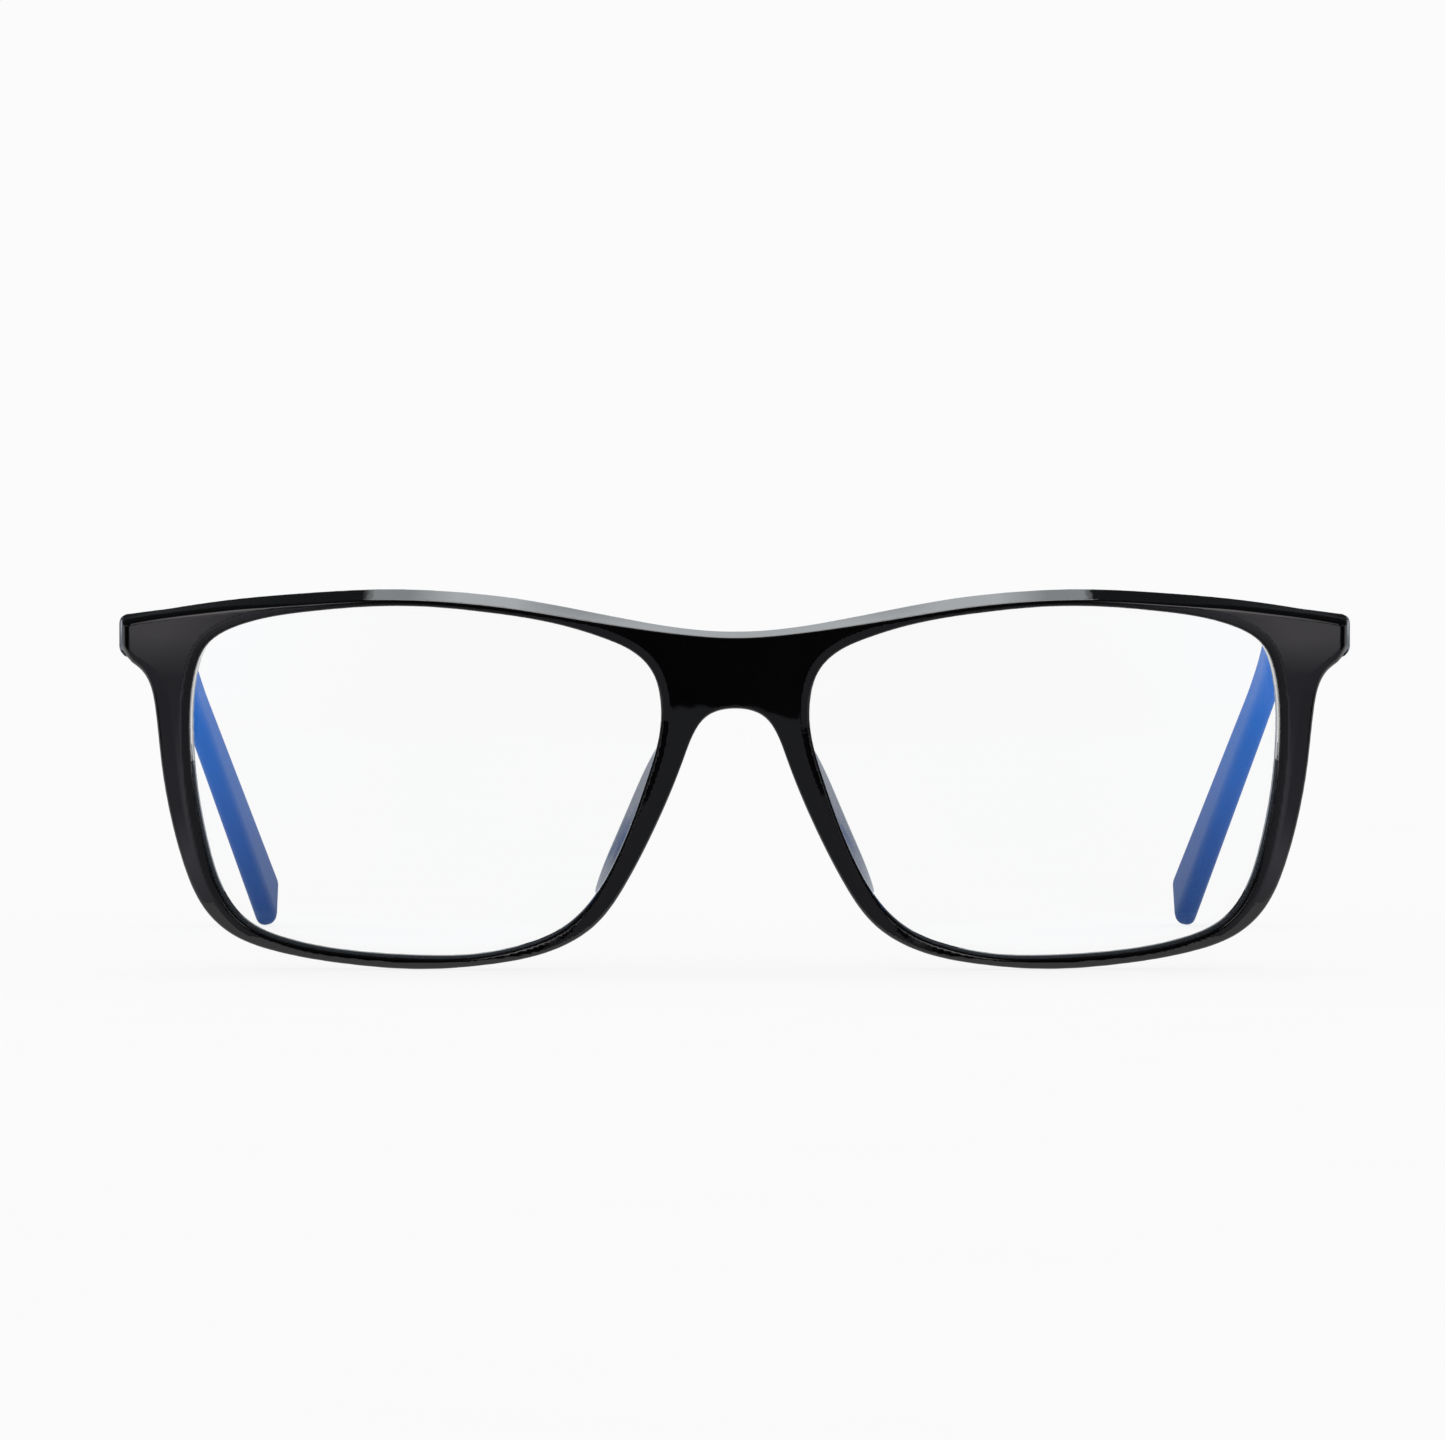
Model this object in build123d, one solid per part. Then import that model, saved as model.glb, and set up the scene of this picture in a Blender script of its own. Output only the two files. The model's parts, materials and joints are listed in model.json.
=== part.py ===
from build123d import *
from math import asin, cos, radians, sin, sqrt
import os

os.makedirs("parts", exist_ok=True)

# Glasses standing open on their lower rims and temple tips, in millimetres.
# +X is the wearer's left, the front faces -Y, the temples run back along +Y, +Z is up.

# ---- front ----
front_tilt = 9.0            # pantoscopic tilt, the brow leans forward of the lower rims
wrap_radius = 450.0         # plan-view curve of the front
front_thickness = 4.0
brow_edge_round = 0.6
aperture_edge_round = 0.4
half_width = 70.0
lug_inner_x = 66.2
lug_bottom_z = 36.0
lug_top_z = 40.2
lug_front_y = 1.2
lug_back_y = 12.0
lug_outer_round = 0.9
lug_inner_round = 0.3

# ---- lenses ----
lens_radius = 250.0         # radius of the lens's front surface
lens_thickness = 1.8
lens_centre_x = 35.2
lens_centre_z = 21.5
lens_set_back = 0.5         # the lens's front surface behind the front's at the lens centre
groove_depth = 0.6
lens_bevel = 0.55
grown_curve_points = 56
groove_clearance = 0.03

# ---- nose pads ----
pad_depth = 6.0
pad_flare = 1.1             # how far the pad reaches past the lens opening at its back
pad_root_overlap = 0.4      # the pad's blank starts inside the rim it is cut to
pad_margin = 0.45           # between the pad's root and both edges of the rim
pad_inner_slope = 1.0       # how far the nose side moves outwards over its depth
pad_end_round = 0.55
pad_overrun = 1.1           # the pad's ends beyond its first and last stations
pad_lean = 24.0             # lean of the pad's width line from level
# Nose-side edge of the rim, the rim's width there, and the pad's share of its flare.
pad_stations = [
    ((5.8, 24.5), 3.49, 0.4), ((7.4, 20.3), 3.04, 0.9), ((9.2, 16.2), 2.69, 1.0),
    ((10.7, 13.1), 2.52, 1.0), ((12.3, 10.1), 2.31, 0.8), ((13.9, 7.8), 2.25, 0.4)]

# ---- hinge ----
hinge_x = 64.6
hinge_z = 38.1              # middle of the knuckle stack
knuckle_radius = 1.3
knuckle_count = 5
knuckle_pitch = 0.8
knuckle_gap = 0.06
shaft_radius = 0.6
running_clearance = 0.05
leaf_thickness = 1.0
leaf_proud = 0.6            # how far a leaf stands out of the face it is let into
leaf_height = 3.2
leaf_corner = 0.5
bar_thickness = 0.5
leaf_length = 6.4
leaf_start = 1.7            # from the hinge axis to the leaf
screw_head_radius = 0.95
screw_head_height = 0.45
screw_slot_width = 0.3
leaf_screw_radius = 0.4
leaf_screw_head_radius = 0.75
leaf_screw_head_height = 0.3
leaf_screw_length = 2.2
leaf_screw_spacing = 3.4

# ---- temples ----
butt_gap = 0.3              # between the lug and the open temple
shaft_length = 87.7         # straight part, hinge to ear bend
bend_radius = 26.0
bend_angle = 52.0
end_length = 33.6           # straight part after the bend
lean_angle = 14.5           # the end leans inwards
lean_start = 10.0           # along the bend
lean_run = 16.0             # distance in which the lean builds up
temple_middle_z = 38.1
temple_front_thickness = 3.4
temple_bend_thickness = 2.6
temple_end_thickness = 2.8
temple_front_height = 4.2
temple_bend_height = 5.0
temple_end_height = 8.8
temple_outer_x = 69.6
temple_bend_outer_x = 69.2
temple_corner = 1.2
tip_round = 0.7
station_pitch = 5.0
wire_stations = 18
wire_thickness = 0.7
wire_height = 1.6
wire_start = 14.0
wire_end_gap = 16.0


def front_depth(x):
    """Depth of the curved front surface behind its middle, at a distance x from the middle."""
    return wrap_radius - sqrt(wrap_radius ** 2 - x ** 2)


def outline_face():
    """Outer shape of the front, with the brow, lugs, lower rims and nose arch."""
    brow = Spline(
        (0, 38.55), (12, 39.92), (24, 42.19), (32, 43.02), (40, 43.23),
        (48, 42.75), (56, 41.9), (63, 40.79), (half_width, 39.3),
        tangents=[(1, 0), (0.98, -0.2)],
    )
    lug_end = Line((half_width, 39.3), (half_width, 35.7))
    lug_under = Line((half_width, 35.7), (67.4, 33.5))
    lower = Spline(
        (67.4, 33.5), (66.1, 30.2), (65.4, 23.5), (64.5, 17.5), (62.95, 11.45), (60.3, 5.9),
        (57.4, 3.35), (52.5, 1.54), (44, 0.2), (36, -0.23), (28, 0.42), (20, 2.46),
        (16, 5.02), (12.3, 10.1), (9.2, 16.2), (7.4, 20.3), (5.8, 24.5), (4.75, 27.2),
        (3.3, 29.2), (1.6, 30.0), (0, 30.17),
        tangents=[(-0.4, -0.9), (-1, 0)],
    )
    half = [brow, lug_end, lug_under, lower]
    other = [edge.mirror(Plane.YZ) for edge in half]
    return Plane.XZ * make_face(half + other)


def aperture_curve():
    """Edge of the left lens opening in the front's own plane."""
    return Spline(
        (38, 41.66), (48, 40.9), (56, 39.24), (60.1, 36.7), (61.5, 33.3), (62.05, 27),
        (61.5, 19.3), (60.3, 13), (58.6, 8), (56, 4.7), (52, 2.84), (44, 1.4), (36, 1.0),
        (29.8, 1.23), (24.6, 2.3), (20.6, 3.9), (17.3, 6.6), (14.6, 10.6), (12, 16.3),
        (9.9, 22.3), (8.55, 27.6), (8.5, 31), (9.45, 34.4), (11.4, 36.5), (14.3, 37.95),
        (20, 39.72), (28, 41.02),
        periodic=True,
    )


def aperture_face(grow):
    """Left lens opening, grown outwards by a distance."""
    curve = aperture_curve()
    if grow > 0:
        points = []
        for index in range(grown_curve_points):
            share = index / grown_curve_points
            tangent = curve.tangent_at(share)
            outwards = Vector(-tangent.Y, tangent.X, 0)
            points.append(curve.position_at(share) + outwards * grow)
        curve = Spline(*points, periodic=True)
    return Plane.XZ * make_face(curve)


def tilted(shape):
    """Turns a shape from the front's own upright plane to its tilted place."""
    return Rot(front_tilt, 0, 0) * shape


def mirrored(shape):
    return mirror(shape, about=Plane.YZ)


def lens_blank(clearance):
    """Left lens before its bevel; the clearance grows it into its groove's cutter."""
    wall = extrude(aperture_face(groove_depth + clearance), 24, dir=(0, 1, 0))
    wall = Pos(0, -4, 0) * wall
    turn = asin(lens_centre_x / wrap_radius)
    surface_y = front_depth(lens_centre_x) + lens_set_back
    centre_x = lens_centre_x - lens_radius * sin(turn)
    centre_y = surface_y + lens_radius * cos(turn)
    centre = Pos(centre_x, centre_y, lens_centre_z)
    outside = centre * Sphere(lens_radius + clearance)
    inside = centre * Sphere(lens_radius - lens_thickness - clearance)
    return (wall & outside) - inside


def lens():
    """Left lens with a bevel on both edges of its rim, in the front's own plane."""
    blank = lens_blank(0)
    surfaces = blank.faces().filter_by(GeomType.SPHERE)
    return chamfer(surfaces.edges(), lens_bevel)


def front_plate():
    """Curved plate with rounded brow and lens openings, in the front's own plane."""
    plate = extrude(outline_face(), 16, dir=(0, 1, 0))
    opening = Pos(0, -2, 0) * extrude(aperture_face(0), 20, dir=(0, 1, 0))
    plate = plate - opening - mirrored(opening)
    axis = Pos(0, wrap_radius, 20)
    plate = plate & (axis * Cylinder(wrap_radius, 80))
    plate = plate - (axis * Cylinder(wrap_radius - front_thickness, 80))
    openings = plate.edges().filter_by(lambda e: e.length > 150)
    plate = fillet(openings, aperture_edge_round)
    brow = plate.edges().filter_by(lambda e: 60 < e.length < 80 and e.center().Z > 38)
    front_brow = brow.sort_by(Axis.Y)[:2]
    return fillet(front_brow, brow_edge_round)


def hinge_block():
    """Part of the left lug that runs back to the hinge."""
    width = half_width - lug_inner_x
    height = lug_top_z - lug_bottom_z
    section = Rectangle(width, height)
    section = fillet(section.vertices().group_by(Axis.X)[-1], lug_outer_round)
    section = fillet(section.vertices().group_by(Axis.X)[0], lug_inner_round)
    middle = Pos(lug_inner_x + width / 2, lug_front_y, (lug_top_z + lug_bottom_z) / 2)
    return middle * extrude(Plane.XZ * section, lug_back_y - lug_front_y, dir=(0, 1, 0))


def front_frame():
    """One-piece front with lens grooves, lugs and the pockets of its hinge leaves."""
    groove = lens_blank(groove_clearance)
    plate = front_plate() - groove - mirrored(groove)
    block = hinge_block() - leaf_plate(-1)
    for place in leaf_screw_places(-1):
        block = block - leaf_screw_shank(place)
    return tilted(plate) + block + mirrored(block)


def pad_section(share, inset):
    """Outline of the nose pad at a share of its depth, drawn in by an inset."""
    lean = Vector(cos(radians(pad_lean)), sin(radians(pad_lean)))
    down = Vector(lean.Y, -lean.X)
    inner = []
    outer = []
    for (x, z), rim_width, flare in pad_stations:
        root = Vector(x, z)
        reach = rim_width - pad_margin + (pad_margin + pad_flare * flare) * share
        inner.append(root + lean * (pad_margin + pad_inner_slope * share + inset))
        outer.append(root + lean * (reach - inset))
    top = (inner[0] + outer[0]) / 2 - down * (pad_overrun - inset)
    low = (inner[-1] + outer[-1]) / 2 + down * (pad_overrun - inset)
    return Plane.XZ * make_face(Spline(*inner, low, *reversed(outer), top, periodic=True))


def nose_pad(frame):
    """Left nose pad, which flares outwards behind the rim it is bonded to."""
    root_depth = front_thickness - pad_root_overlap
    run = pad_depth + pad_root_overlap
    sections = []
    for share, inset in ((0, 0), (0.3, 0), (0.6, 0), (0.86, 0), (0.96, 0.3), (1, 1)):
        depth = root_depth + run * share
        sections.append(Pos(0, depth, 0) * pad_section(share, inset * pad_end_round))
    return tilted(loft(sections)) - frame


def bend_turn(distance):
    """Downward turn of the temple at a distance along it, in radians."""
    along = min(max(distance - shaft_length, 0), bend_radius * radians(bend_angle))
    return along / bend_radius


def lean_turn(distance):
    """Inward lean of the temple at a distance along it, in radians."""
    share = (distance - shaft_length - lean_start) / lean_run
    share = min(max(share, 0), 1)
    return radians(lean_angle) * share * share * (3 - 2 * share)


def temple_length():
    return shaft_length + bend_radius * radians(bend_angle) + end_length


def blend(distance, start, bend, end):
    """Value of a temple dimension that runs from its front, through the bend, to its end."""
    if distance < shaft_length:
        return start + (bend - start) * distance / shaft_length
    share = (distance - shaft_length) / (temple_length() - shaft_length)
    return bend + (end - bend) * share


def temple_station(distance):
    """Plane across the left temple at a distance along it, with its origin mid-section."""
    steps = 200
    step = distance / steps
    y = lug_back_y + butt_gap
    z = temple_middle_z
    leant = 0.0
    for index in range(steps):
        down = bend_turn((index + 0.5) * step)
        lean = lean_turn((index + 0.5) * step)
        y += step * cos(down) * cos(lean)
        z -= step * sin(down) * cos(lean)
        leant += step * sin(lean)
    down = bend_turn(distance)
    lean = lean_turn(distance)
    along = Vector(-sin(lean), cos(down) * cos(lean), -sin(down) * cos(lean))
    up = Vector(0, sin(down), cos(down))
    thickness = blend(distance, temple_front_thickness, temple_bend_thickness, temple_end_thickness)
    outer_x = blend(distance, temple_outer_x, temple_bend_outer_x, temple_bend_outer_x)
    x = outer_x - thickness / 2 - leant
    return Plane(origin=(x, y, z), x_dir=along.cross(up), z_dir=along)


def temple_section(distance):
    thickness = blend(distance, temple_front_thickness, temple_bend_thickness, temple_end_thickness)
    height = blend(distance, temple_front_height, temple_bend_height, temple_end_height)
    return temple_station(distance) * RectangleRounded(thickness, height, temple_corner)


def temple_blank():
    """Left temple before its hinge pocket and wire channel."""
    count = round(temple_length() / station_pitch)
    pitch = temple_length() / count
    blank = loft([temple_section(index * pitch) for index in range(count + 1)])
    end_face = blank.faces().sort_by(Axis.Y)[-1]
    return fillet(end_face.edges(), tip_round)


def core_wire():
    """Left flat stiffening wire along the middle of the temple."""
    run = temple_length() - wire_end_gap - wire_start
    pitch = run / wire_stations
    sections = [
        temple_station(wire_start + index * pitch) * Rectangle(wire_thickness, wire_height)
        for index in range(wire_stations + 1)
    ]
    return loft(sections)


def temple_arm():
    """Left temple with the leaf's pocket, its screw holes and the wire's channel."""
    arm = temple_blank() - core_wire() - leaf_plate(1)
    for place in leaf_screw_places(1):
        arm = arm - leaf_screw_shank(place)
    return arm


def knuckle_z(level):
    """Height of a knuckle's middle; levels count up from the lowest knuckle."""
    return hinge_z + (level - (knuckle_count - 1) / 2) * knuckle_pitch


def knuckle(level, side):
    """Knuckle with the bar that joins it to its leaf; side -1 is the front's, 1 the temple's."""
    height = knuckle_pitch - knuckle_gap
    barrel = Pos(hinge_x, lug_back_y, knuckle_z(level)) * Cylinder(knuckle_radius, height)
    bar_length = leaf_start + 0.6
    bar_x = lug_inner_x - leaf_proud + bar_thickness / 2
    bar_y = lug_back_y + side * bar_length / 2
    bar = Pos(bar_x, bar_y, knuckle_z(level)) * Box(bar_thickness, bar_length, height)
    return barrel + bar


def leaf_plate(side):
    """Flat leaf beside the hinge, let into the lug or the temple."""
    box = Box(leaf_thickness, leaf_length, leaf_height)
    box = fillet(box.edges().filter_by(Axis.X), leaf_corner)
    x = lug_inner_x - leaf_proud + leaf_thickness / 2
    y = lug_back_y + side * (leaf_start + leaf_length / 2)
    return Pos(x, y, hinge_z) * box


def leaf_screw_places(side):
    """Middle of each screw head's seat on a leaf."""
    x = lug_inner_x - leaf_proud
    y = lug_back_y + side * (leaf_start + leaf_length / 2)
    return [(x, y - leaf_screw_spacing / 2, hinge_z), (x, y + leaf_screw_spacing / 2, hinge_z)]


def leaf_screw_shank(place):
    return Pos(*place) * Pos(leaf_screw_length / 2, 0, 0) * Rot(0, 90, 0) * Cylinder(
        leaf_screw_radius, leaf_screw_length)


def leaf_screw(place):
    """Small slotted screw that holds a leaf; its head stands inwards of the leaf."""
    head = Cylinder(leaf_screw_head_radius, leaf_screw_head_height)
    head = fillet(head.edges().group_by(Axis.Z)[0], leaf_screw_head_height * 0.6)
    head = head - Pos(0, 0, -leaf_screw_head_height / 2) * Box(
        screw_slot_width * 0.8, 3, leaf_screw_head_height)
    seat = Pos(*place) * Pos(-leaf_screw_head_height / 2, 0, 0) * Rot(0, 90, 0)
    return seat * head + leaf_screw_shank(place)


def hinge_leaf(side, levels, bore_radius):
    """Leaf with its knuckles and the holes for its shaft and screws."""
    leaf = leaf_plate(side)
    for level in levels:
        leaf = leaf + knuckle(level, side)
    leaf = leaf - Pos(hinge_x, lug_back_y, hinge_z) * Cylinder(bore_radius, 8)
    for place in leaf_screw_places(side):
        leaf = leaf - leaf_screw_shank(place)
    return leaf


def hinge_screw():
    """Vertical screw that is the hinge's shaft, with a slotted head on the top knuckle."""
    stack = knuckle_count * knuckle_pitch - knuckle_gap
    base = Pos(hinge_x, lug_back_y, hinge_z)
    shank = base * Cylinder(shaft_radius, stack)
    head = Cylinder(screw_head_radius, screw_head_height)
    head = fillet(head.edges().group_by(Axis.Z)[-1], screw_head_height * 0.5)
    slot = Pos(0, 0, screw_head_height / 2) * Box(3, screw_slot_width, screw_head_height)
    top = Pos(0, 0, stack / 2 + screw_head_height / 2)
    return shank + base * top * (head - slot)


frame = front_frame()
left_pieces = {
    "lens": tilted(lens()),
    "nose_pad": nose_pad(frame),
    "front_hinge": hinge_leaf(-1, (0, 2, 4), shaft_radius),
    "temple_hinge": hinge_leaf(1, (1, 3), shaft_radius + running_clearance),
    "hinge_screw": hinge_screw(),
    "temple_arm": temple_arm(),
    "core_wire": core_wire(),
}
for number, place in enumerate(leaf_screw_places(-1), start=1):
    left_pieces[f"front_leaf_screw_{number}"] = leaf_screw(place)
for number, place in enumerate(leaf_screw_places(1), start=1):
    left_pieces[f"temple_leaf_screw_{number}"] = leaf_screw(place)

pieces = {"front_frame": frame}
for name, shape in left_pieces.items():
    pieces[f"{name}_left"] = shape
    pieces[f"{name}_right"] = mirrored(shape)

# The object's bottom rests on the floor and its depth is centred on the origin.
low_z = min(shape.bounding_box().min.Z for shape in pieces.values())
front_y = min(shape.bounding_box().min.Y for shape in pieces.values())
back_y = max(shape.bounding_box().max.Y for shape in pieces.values())
to_origin = Pos(0, -(front_y + back_y) / 2, -low_z)
print("moved by", to_origin.position, "rim low", low_z, "temple low",
      left_pieces["temple_arm"].bounding_box().min.Z)
for name, shape in pieces.items():
    export_step(to_origin * shape, f"parts/{name}.step")
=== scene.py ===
import json
import math

import bpy
import numpy as np
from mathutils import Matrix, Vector


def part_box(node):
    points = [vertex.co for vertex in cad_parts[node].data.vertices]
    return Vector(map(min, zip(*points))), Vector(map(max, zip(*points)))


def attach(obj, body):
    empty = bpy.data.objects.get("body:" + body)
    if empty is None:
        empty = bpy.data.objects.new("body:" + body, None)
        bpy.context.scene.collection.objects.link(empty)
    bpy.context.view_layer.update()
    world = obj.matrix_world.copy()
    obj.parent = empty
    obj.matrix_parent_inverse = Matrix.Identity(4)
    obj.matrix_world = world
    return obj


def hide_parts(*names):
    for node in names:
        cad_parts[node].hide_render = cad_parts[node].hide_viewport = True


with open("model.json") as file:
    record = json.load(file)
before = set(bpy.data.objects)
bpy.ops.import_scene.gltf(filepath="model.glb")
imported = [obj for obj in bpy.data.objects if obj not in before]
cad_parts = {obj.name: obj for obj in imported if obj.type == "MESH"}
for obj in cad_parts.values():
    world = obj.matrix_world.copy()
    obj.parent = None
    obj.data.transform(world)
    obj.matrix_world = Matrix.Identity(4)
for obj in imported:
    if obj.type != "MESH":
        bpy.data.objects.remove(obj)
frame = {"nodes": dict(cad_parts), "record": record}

# ---- sizes in millimetres, in the front's design frame: the front leans about X through its origin ----
MM = 0.001
FRONT_TILT = math.radians(9.0)
WRAP_RADIUS = 450.0
FRONT_THICKNESS = 4.0
HALF_WIDTH = 70.0
DESIGN_HINGE = np.array([64.6, 12.0, 38.1])

NET_PITCH = 0.25            # grid of the front's surface
NET_LOW = np.array([-71.0, -9.0, -1.5])
NET_HIGH = np.array([71.0, 13.0, 45.0])
NET_BLOCK = 5               # fine cells along each side of a coarse one
NET_MARGIN = 1.25           # coarse cells within this many sides of the surface are kept
SETTLE_ROUNDS = 3
LEAST_SLOPE_SQUARED = 0.25
BROW_STEPS = 260            # points along the brow
RIM_STEPS = 420             # points along the lower edge, and round the lens opening
FIELD_PITCH = 0.2           # grid of the outline distances
MIDDLE_MARGIN = -0.5        # half outlines run this far past the middle

EDGE_ROUND = 0.4
LUG_EDGE_ROUND = 0.8
OPENING_ROUND = 0.3
BACK_ROUND = 0.7
LUG_END_ROUND = 1.3

# Bevel along the front's lower edge, from lug to lug: wide at the sides, narrow at the nose
OUTER_BEVEL_WIDTH = 1.9
OUTER_BEVEL_DEPTH = 0.3
NOSE_BEVEL_WIDTH = 0.35
LOWER_BEVEL_EXTRA = 0.45
LEAST_BEVEL_WIDTH = 0.05
SIDE_SPAN = (47, 60)        # distances from the middle over which the side's bevel grows
LOWER_SPAN = (20, 32)       # the same for the extra width below the lenses
BEVEL_FADE = 0.6            # share of its width that the bevel loses towards the lug
BEVEL_FADE_HEIGHTS = (31, 36.5)
INNER_BEVEL_WIDTH = 1.1
INNER_BEVEL_DEPTH = 0.22
CREASE_SOFTNESS = 0.16

# Brow: how far its front edge lies below its back edge, more away from the middle, less at the ends
BROW_HEIGHTS = (31, 37)     # heights over which the outline's edge takes on the brow's shape
BROW_DROP_MIDDLE = 0.18
BROW_DROP_MORE = 0.72
BROW_DROP_SPAN = (4, 24)
BROW_SIDE_LOSS = 0.55
BROW_SIDE_SPAN = (48, 60)
BROW_END_LOSS = 0.42
BROW_END_SPAN = (58, 70)

# Lug; its block is added behind the front
LUG_TOP = 39.35
LUG_BOTTOM = 36.2
LUG_SPAN = (64, 67)         # distances from the middle over which the walls turn straight back
LUG_BOX_LOW = np.array([66.2, 1.0, 36.0])
LUG_BOX_HIGH = np.array([70.0, 12.0, 40.2])
LUG_BOX_ROUND = 0.8
LUG_BLEND = 0.9

LENS_RADIUS = 250.0
LENS_THICKNESS = 1.8
LENS_CENTRE = (35.2, 21.5)
LENS_SET_BACK = 0.5
LENS_GROW = 0.6
LENS_BEVEL = 0.55
LENS_RINGS = 14
LENS_INNER_SHARE = 0.04     # the innermost ring's, before the power below is taken
LENS_RING_POWER = 0.75      # below 1, rings lie closer together towards the rim
LENS_RIM_DEPTH = 2.0        # of the rim's middle behind the front

# Nose pad, drawn behind the middle line of the nasal rim
PAD_LINE = [(7.1, 26.0), (8.8, 20.9), (11.8, 13.6), (15.3, 7.6)]
PAD_START = 2.6             # depth, inside the rim, where its first outline lies
PAD_ROOT = 3.6              # depth from which it widens and flares
PAD_RUN = 6.4
PAD_ROOT_WIDTH = 1.9
PAD_BACK_WIDTH = 2.5
PAD_LENGTH = 22.4
PAD_FLARE = 0.8
PAD_SQUARENESS = 2.5
PAD_BACK_ROUND = 1.05
PAD_END_DROP = 0.5          # share of its depth that it loses towards its ends
PAD_END_DROP_POWER = 2.5
PAD_LINE_STEPS = 400
PAD_POINTS = 72
PAD_RINGS = 14
PAD_ROUND_RINGS = 7

# Temple; a triple gives its values at the hinge, where the bend starts and at the tip
BUTT_GAP = 0.3
SHAFT_LENGTH = 87.7
BEND_RADIUS = 26.0
BEND_ANGLE = math.radians(52.0)
END_LENGTH = 33.6
LEAN_ANGLE = math.radians(14.5)
LEAN_START = 10.0
LEAN_RUN = 16.0
TEMPLE_LENGTH = SHAFT_LENGTH + BEND_RADIUS * BEND_ANGLE + END_LENGTH
TEMPLE_MIDDLE_Z = 38.1
TEMPLE_THICKNESS = (3.4, 2.6, 2.8)
TEMPLE_HEIGHT = (4.2, 4.7, 9.0)
TEMPLE_OUTER_X = (69.6, 69.2, 69.2)
TEMPLE_SQUARENESS = 2.6     # exponent of the section's ends, 2 would be an ellipse
TEMPLE_END_REACH = 0.75     # height of the section's rounded ends as a share of its width
SECTION_POINTS = 44
TEMPLE_PITCH = 1.0          # rings along the temple
PATH_STEP = 0.5
END_STEPS = 5               # steps round the edge at each end
BUTT_ROUND = 0.25
TIP_ROUND = 1.0

record = frame["record"]
joints = {joint["name"]: joint for joint in record["behaviour"]["joints"]}
ORIGIN = np.array(joints["left_temple_fold"]["pos_m"]) / MM - DESIGN_HINGE

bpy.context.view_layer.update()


# ---- curves ----
def cubic_through(points, closed, count):
    """Smooth curve through points, evenly spaced along each stretch in proportion to its length."""
    points = np.array(points, float)
    if closed:
        points = np.vstack([points[-3:], points, points[:4]])
    lengths = np.linalg.norm(np.diff(points, axis=0), axis=1)
    knots = np.concatenate([[0], np.cumsum(lengths)])
    size = len(points)
    matrix = np.zeros((size, size))
    right = np.zeros((size, 2))
    matrix[0, 0] = matrix[-1, -1] = 1.0
    for i in range(1, size - 1):
        matrix[i, i - 1] = lengths[i - 1]
        matrix[i, i] = 2 * (lengths[i - 1] + lengths[i])
        matrix[i, i + 1] = lengths[i]
        rise = (points[i + 1] - points[i]) / lengths[i]
        rise_before = (points[i] - points[i - 1]) / lengths[i - 1]
        right[i] = 6 * (rise - rise_before)
    bend = np.linalg.solve(matrix, right)
    if closed:
        along = np.linspace(knots[3], knots[-4], count, endpoint=False)
    else:
        along = np.linspace(knots[0], knots[-1], count)
    i = np.clip(np.searchsorted(knots, along, side="right") - 1, 0, size - 2)
    h = lengths[i][:, None]
    a = (knots[i + 1] - along)[:, None]
    b = (along - knots[i])[:, None]
    curve = bend[i] * a ** 3 / (6 * h) + bend[i + 1] * b ** 3 / (6 * h)
    curve += (points[i] / h - bend[i] * h / 6) * a
    curve += (points[i + 1] / h - bend[i + 1] * h / 6) * b
    return curve


BROW = cubic_through([
    (-12, 39.92), (0, 38.55), (12, 39.92), (24, 42.19), (32, 43.02), (40, 43.23), (48, 42.75),
    (56, 41.9), (63, 40.79), (HALF_WIDTH, LUG_TOP)], False, BROW_STEPS)
LOWER = cubic_through([
    (68.6, 34.55), (67.4, 33.6), (66.5, 32.0), (66.0, 29.6), (65.4, 23.5), (64.5, 17.5),
    (62.95, 11.45), (60.3, 5.9), (57.4, 3.35), (52.5, 1.54), (44, 0.2), (36, -0.23), (28, 0.42),
    (20, 2.46), (16, 5.02), (12.3, 10.1), (9.2, 16.2), (7.4, 20.3), (5.8, 24.5), (4.75, 27.2),
    (3.3, 29.2), (1.6, 30.0), (0, 30.17), (-1.6, 30.0), (-3.3, 29.2)], False, RIM_STEPS)
LOWER = np.vstack([[(HALF_WIDTH, LUG_BOTTOM)], [(69.75, 35.45)], LOWER])
APERTURE_POINTS = [
    (38, 41.66), (48, 40.9), (56, 39.24), (60.1, 36.7), (61.5, 33.3), (62.05, 27), (61.5, 19.3),
    (60.3, 13), (58.6, 8), (56, 4.7), (52, 2.84), (44, 1.4), (36, 1.0), (29.8, 1.23),
    (24.6, 2.3), (20.6, 3.9), (17.3, 6.6), (14.6, 10.6), (12, 16.3), (9.9, 22.3), (8.55, 27.6),
    (8.5, 31), (9.45, 34.4), (11.4, 36.5), (14.3, 37.95), (20, 39.72), (28, 41.02)]
APERTURE = cubic_through(APERTURE_POINTS, True, RIM_STEPS)


def wrap_depth(x):
    return WRAP_RADIUS - np.sqrt(WRAP_RADIUS ** 2 - x ** 2)


LENS_TURN = math.asin(LENS_CENTRE[0] / WRAP_RADIUS)
LENS_MIDDLE = np.array([
    LENS_CENTRE[0] - LENS_RADIUS * math.sin(LENS_TURN),
    wrap_depth(LENS_CENTRE[0]) + LENS_SET_BACK + LENS_RADIUS * math.cos(LENS_TURN),
    LENS_CENTRE[1]])


def smoothstep(low, high, value):
    share = np.clip((value - low) / (high - low), 0, 1)
    return share * share * (3 - 2 * share)


# ---- distances in the front's own plane ----
FIELD_X = np.arange(0, 73, FIELD_PITCH)
FIELD_Z = np.arange(-3, 47, FIELD_PITCH)


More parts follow.
